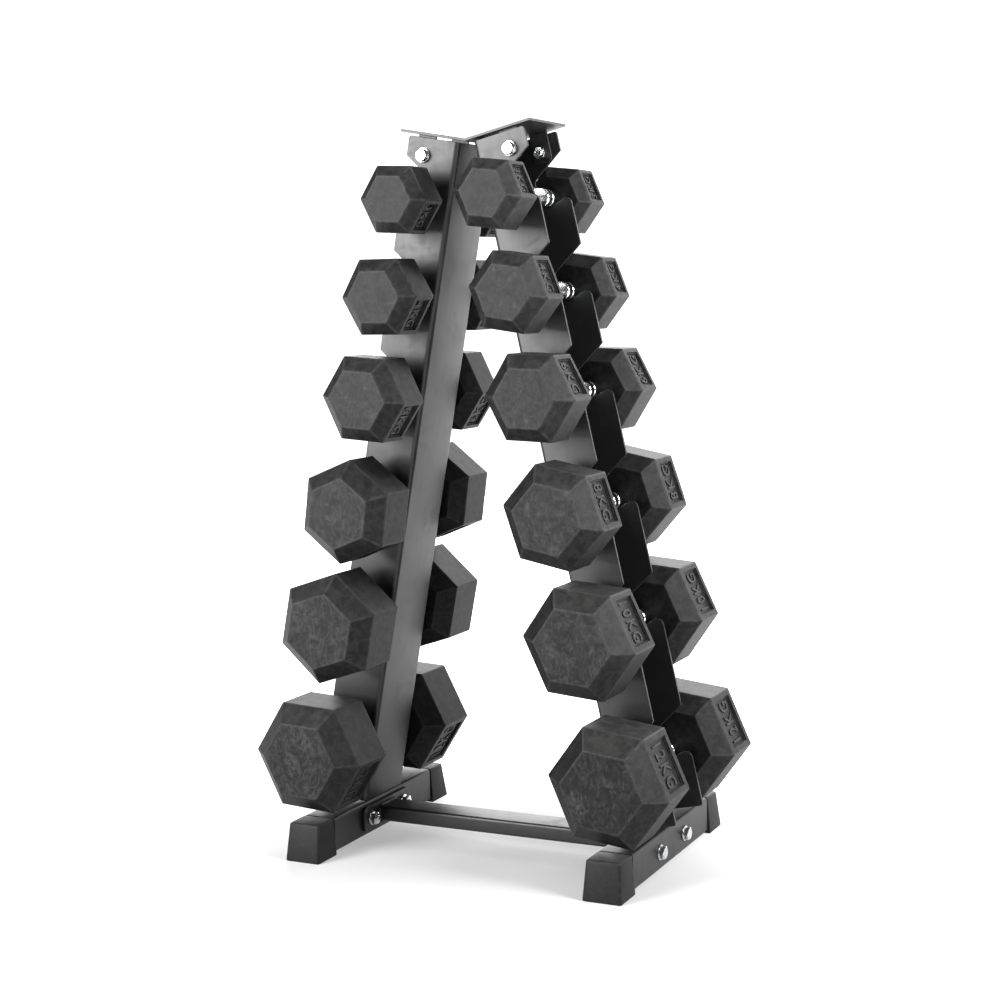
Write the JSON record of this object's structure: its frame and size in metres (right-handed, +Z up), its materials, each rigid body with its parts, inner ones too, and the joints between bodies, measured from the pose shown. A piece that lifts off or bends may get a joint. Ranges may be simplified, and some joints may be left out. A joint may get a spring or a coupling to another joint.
{
  "type": "dumbbell rack",
  "caption": "A-shaped steel storage rack with toothed channel uprights on a flat base, loaded with pairs of rubber hex dumbbells that lift out of round seats.",
  "frame": {"origin": "On the floor, under the middle of the rack's overall box.", "axes": "+Z up, X across the rack from its left upright to its right one, +Y from the front of the rack to its back, along the dumbbells' handles."},
  "size_m": [0.5112, 0.3046, 0.8222],
  "materials": {
    "black_steel": "satin",
    "black_plastic": "matte",
    "bolt_chrome": "gloss",
    "handle_chrome": "polished",
    "head_rubber": "matte"
  },
  "bodies": {
    "rack": {"crossbar": "black_steel", "top_bracket": "black_steel", "right_base_tube": "black_steel", "right_front_foot_cap": "black_plastic", "right_back_foot_cap": "black_plastic", "right_crossbar_plate": "black_steel", "right_base_bolt_front": "bolt_chrome", "right_base_bolt_back": "bolt_chrome", "right_upright": "black_steel", "right_top_bolt_front": "bolt_chrome", "right_top_bolt_back": "bolt_chrome", "right_top_nut_front": "bolt_chrome", "right_top_nut_back": "bolt_chrome", "left_base_tube": "black_steel", "left_front_foot_cap": "black_plastic", "left_back_foot_cap": "black_plastic", "left_crossbar_plate": "black_steel", "left_base_bolt_front": "bolt_chrome", "left_base_bolt_back": "bolt_chrome", "left_upright": "black_steel", "left_top_bolt_front": "bolt_chrome", "left_top_bolt_back": "bolt_chrome", "left_top_nut_front": "bolt_chrome", "left_top_nut_back": "bolt_chrome"},
    "right_dumbbell_1": {"right_1_handle": "handle_chrome", "right_1_front_head": "head_rubber", "right_1_back_head": "head_rubber"},
    "right_dumbbell_2": {"right_2_handle": "handle_chrome", "right_2_front_head": "head_rubber", "right_2_back_head": "head_rubber"},
    "right_dumbbell_3": {"right_3_handle": "handle_chrome", "right_3_front_head": "head_rubber", "right_3_back_head": "head_rubber"},
    "right_dumbbell_4": {"right_4_handle": "handle_chrome", "right_4_front_head": "head_rubber", "right_4_back_head": "head_rubber"},
    "right_dumbbell_5": {"right_5_handle": "handle_chrome", "right_5_front_head": "head_rubber", "right_5_back_head": "head_rubber"},
    "right_dumbbell_6": {"right_6_handle": "handle_chrome", "right_6_front_head": "head_rubber", "right_6_back_head": "head_rubber"},
    "left_dumbbell_1": {"left_1_handle": "handle_chrome", "left_1_front_head": "head_rubber", "left_1_back_head": "head_rubber"},
    "left_dumbbell_2": {"left_2_handle": "handle_chrome", "left_2_front_head": "head_rubber", "left_2_back_head": "head_rubber"},
    "left_dumbbell_3": {"left_3_handle": "handle_chrome", "left_3_front_head": "head_rubber", "left_3_back_head": "head_rubber"},
    "left_dumbbell_4": {"left_4_handle": "handle_chrome", "left_4_front_head": "head_rubber", "left_4_back_head": "head_rubber"},
    "left_dumbbell_5": {"left_5_handle": "handle_chrome", "left_5_front_head": "head_rubber", "left_5_back_head": "head_rubber"},
    "left_dumbbell_6": {"left_6_handle": "handle_chrome", "left_6_front_head": "head_rubber", "left_6_back_head": "head_rubber"}
  },
  "joints": [
    {"name": "right_dumbbell_1_lift_out", "type": "slide", "parent": "rack", "child": "right_dumbbell_1", "axis": [0.7808, 0, 0.6248], "range_m": [0, 0.045]},
    {"name": "right_dumbbell_2_lift_out", "type": "slide", "parent": "rack", "child": "right_dumbbell_2", "axis": [0.7808, 0, 0.6248], "range_m": [0, 0.045]},
    {"name": "right_dumbbell_3_lift_out", "type": "slide", "parent": "rack", "child": "right_dumbbell_3", "axis": [0.7808, 0, 0.6248], "range_m": [0, 0.045]},
    {"name": "right_dumbbell_4_lift_out", "type": "slide", "parent": "rack", "child": "right_dumbbell_4", "axis": [0.7808, 0, 0.6248], "range_m": [0, 0.045]},
    {"name": "right_dumbbell_5_lift_out", "type": "slide", "parent": "rack", "child": "right_dumbbell_5", "axis": [0.7808, 0, 0.6248], "range_m": [0, 0.045]},
    {"name": "right_dumbbell_6_lift_out", "type": "slide", "parent": "rack", "child": "right_dumbbell_6", "axis": [0.7808, 0, 0.6248], "range_m": [0, 0.045]},
    {"name": "left_dumbbell_1_lift_out", "type": "slide", "parent": "rack", "child": "left_dumbbell_1", "axis": [-0.7808, 0, 0.6248], "range_m": [0, 0.045]},
    {"name": "left_dumbbell_2_lift_out", "type": "slide", "parent": "rack", "child": "left_dumbbell_2", "axis": [-0.7808, 0, 0.6248], "range_m": [0, 0.045]},
    {"name": "left_dumbbell_3_lift_out", "type": "slide", "parent": "rack", "child": "left_dumbbell_3", "axis": [-0.7808, 0, 0.6248], "range_m": [0, 0.045]},
    {"name": "left_dumbbell_4_lift_out", "type": "slide", "parent": "rack", "child": "left_dumbbell_4", "axis": [-0.7808, 0, 0.6248], "range_m": [0, 0.045]},
    {"name": "left_dumbbell_5_lift_out", "type": "slide", "parent": "rack", "child": "left_dumbbell_5", "axis": [-0.7808, 0, 0.6248], "range_m": [0, 0.045]},
    {"name": "left_dumbbell_6_lift_out", "type": "slide", "parent": "rack", "child": "left_dumbbell_6", "axis": [-0.7808, 0, 0.6248], "range_m": [0, 0.045]}
  ]
}
